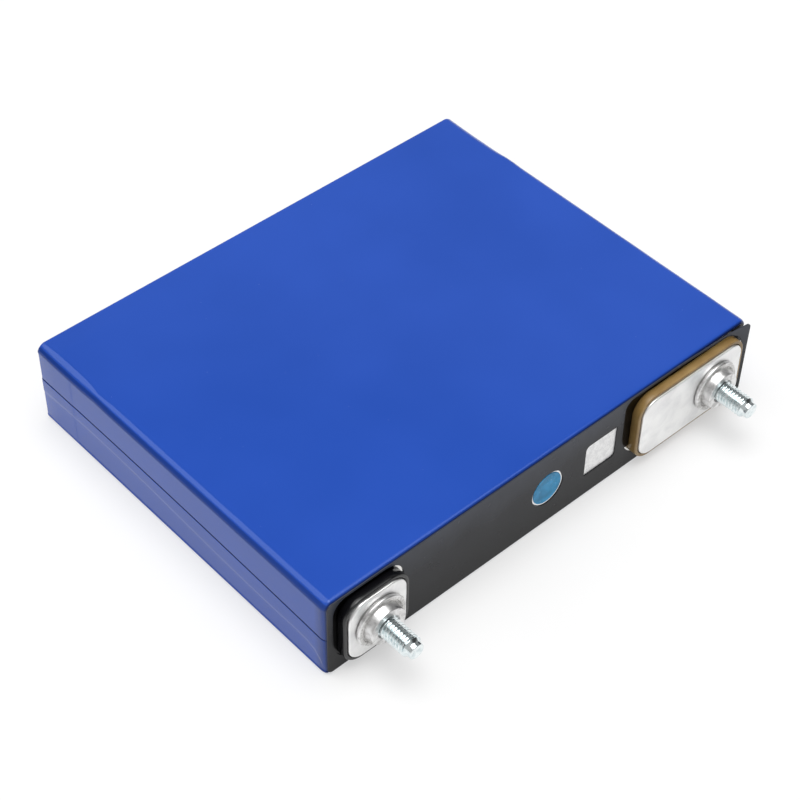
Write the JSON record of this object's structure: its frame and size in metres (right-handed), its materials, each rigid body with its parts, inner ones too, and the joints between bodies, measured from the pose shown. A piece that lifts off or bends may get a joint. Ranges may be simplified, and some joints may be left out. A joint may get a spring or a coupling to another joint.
{
  "type": "prismatic battery cell",
  "caption": "Flat rectangular cell in a glossy blue film, with a black lid sheet, a round vent, and a threaded stud on each of two raised terminal plates.",
  "frame": {"origin": "centre of the large face that the cell rests on", "axes": "+X along the cell's width from the negative to the positive terminal, -Y out of the lid along the studs, +Z along the thickness"},
  "size_m": [0.148, 0.1325, 0.0265],
  "materials": {
    "blue_film": "gloss",
    "can_aluminium": "satin",
    "lid_aluminium": "brushed",
    "black_sheet": "satin",
    "vent_aluminium": "bright",
    "teal_film": "gloss",
    "black_plastic": "gloss",
    "brown_plastic": "satin",
    "plate_aluminium": "blasted",
    "boss_aluminium": "machined",
    "zinc_steel": "zinc plated",
    "copper": "bright copper",
    "foil_aluminium": "bright",
    "seal_rubber": "matt",
    "pale_plastic": "matt",
    "bag_film": "clear",
    "anode": "coated foil",
    "cathode": "coated foil",
    "separator": "matt",
    "green_tape": "satin"
  },
  "bodies": {
    "root": {"wrap_film": "blue_film", "case_can": "can_aluminium", "lid_plate": "lid_aluminium", "lid_sheet": "black_sheet", "vent_disc": "vent_aluminium", "vent_film": "teal_film", "fill_port_plug": "seal_rubber", "fill_port_cap": "vent_aluminium", "neg_outer_insulator": "black_plastic", "neg_terminal_plate": "plate_aluminium", "neg_stud_base": "boss_aluminium", "neg_stud": "zinc_steel", "neg_rivet": "copper", "neg_seal_ring": "seal_rubber", "neg_collector": "copper", "neg_foil_tabs": "copper", "pos_outer_insulator": "brown_plastic", "pos_terminal_plate": "plate_aluminium", "pos_stud_base": "boss_aluminium", "pos_stud": "zinc_steel", "pos_rivet": "foil_aluminium", "pos_seal_ring": "seal_rubber", "pos_collector": "foil_aluminium", "pos_foil_tabs": "foil_aluminium", "lower_insulator": "pale_plastic", "winding_bag": "bag_film", "bottom_pad": "pale_plastic", "winding_a_anode": "anode", "winding_a_cathode": "cathode", "winding_a_separator": "separator", "winding_b_anode": "anode", "winding_b_cathode": "cathode", "winding_b_separator": "separator", "winding_tapes": "green_tape"}
  },
  "joints": []
}
